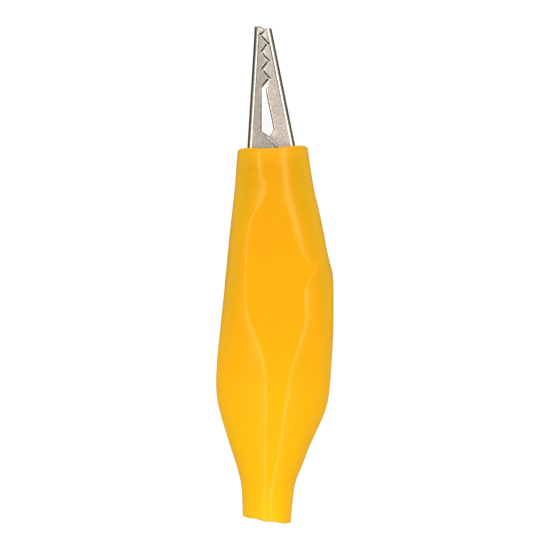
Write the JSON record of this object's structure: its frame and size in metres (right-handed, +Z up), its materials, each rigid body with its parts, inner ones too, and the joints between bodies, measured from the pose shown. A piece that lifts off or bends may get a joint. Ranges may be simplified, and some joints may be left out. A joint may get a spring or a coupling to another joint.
{
  "type": "insulated alligator clip",
  "caption": "Spring clip with two toothed sheet-metal jaws on a riveted pivot, a wire screw and a crimp barrel, in a soft tapered insulating boot.",
  "frame": {"origin": "centre of the underside, with the clip lying on its side", "axes": "+Y from the cable end to the jaw tips; +X from the fixed jaw to the moving jaw; +Z up, along the pivot"},
  "size_m": [0.013, 0.055, 0.009],
  "materials": {
    "plated_jaw": "satin nickel plate",
    "plated_rivet": "satin nickel plate",
    "spring_wire": "drawn wire",
    "plated_screw": "satin nickel plate",
    "boot_vinyl": "semi-gloss dip-moulded soft vinyl"
  },
  "bodies": {
    "fixed_side": {"fixed_jaw": "plated_jaw", "pivot_rivet": "plated_rivet", "torsion_spring": "spring_wire", "boot": "boot_vinyl"},
    "moving_side": {"moving_jaw": "plated_jaw"},
    "screw": {"terminal_screw": "plated_screw"}
  },
  "joints": [
    {"name": "jaw_hinge", "type": "hinge", "parent": "fixed_side", "child": "moving_side", "pos_m": [-0.00055, 0.01203, 0.0045], "axis": [0, 0, -1], "range_deg": [0, 28], "stiffness_Nm_per_rad": 0.004, "springref_deg": -34.38, "deforming": ["torsion_spring", "boot"]},
    {"name": "terminal_screw_turn", "type": "hinge", "parent": "fixed_side", "child": "screw", "pos_m": [-0.00462, -0.00107, 0.0045], "axis": [0.9946, -0.1041, 0], "range_deg": [-240, 720]}
  ]
}
